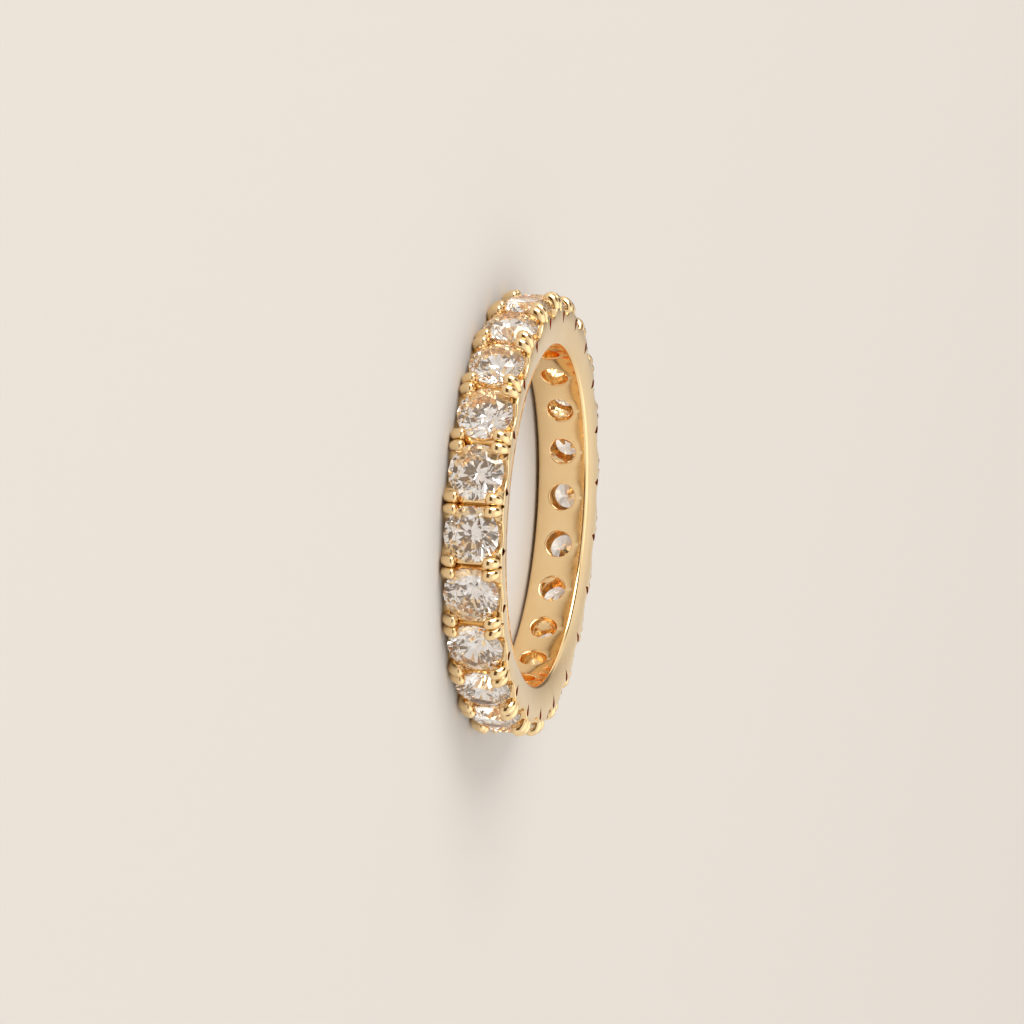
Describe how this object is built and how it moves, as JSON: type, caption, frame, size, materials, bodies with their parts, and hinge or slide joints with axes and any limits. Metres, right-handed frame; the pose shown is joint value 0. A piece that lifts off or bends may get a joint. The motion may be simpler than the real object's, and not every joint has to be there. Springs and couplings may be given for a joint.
{
  "type": "eternity ring",
  "caption": "Finger ring with a row of round brilliant stones all the way round, held by paired claws in a shared gold setting.",
  "frame": {"origin": "on the ring's axis, in the plane of the lower side face that the ring lies on", "axes": "+Z along the ring's axis, upwards; +X midway between stone_22 and stone_01; the stones count up anticlockwise seen from above"},
  "size_m": [0.021, 0.021, 0.0028],
  "materials": {
    "gold": "high polish",
    "stone": "cut and polished"
  },
  "bodies": {
    "root": {"setting": "gold", "stone_01": "stone", "stone_02": "stone", "stone_03": "stone", "stone_04": "stone", "stone_05": "stone", "stone_06": "stone", "stone_07": "stone", "stone_08": "stone", "stone_09": "stone", "stone_10": "stone", "stone_11": "stone", "stone_12": "stone", "stone_13": "stone", "stone_14": "stone", "stone_15": "stone", "stone_16": "stone", "stone_17": "stone", "stone_18": "stone", "stone_19": "stone", "stone_20": "stone", "stone_21": "stone", "stone_22": "stone"}
  },
  "joints": []
}
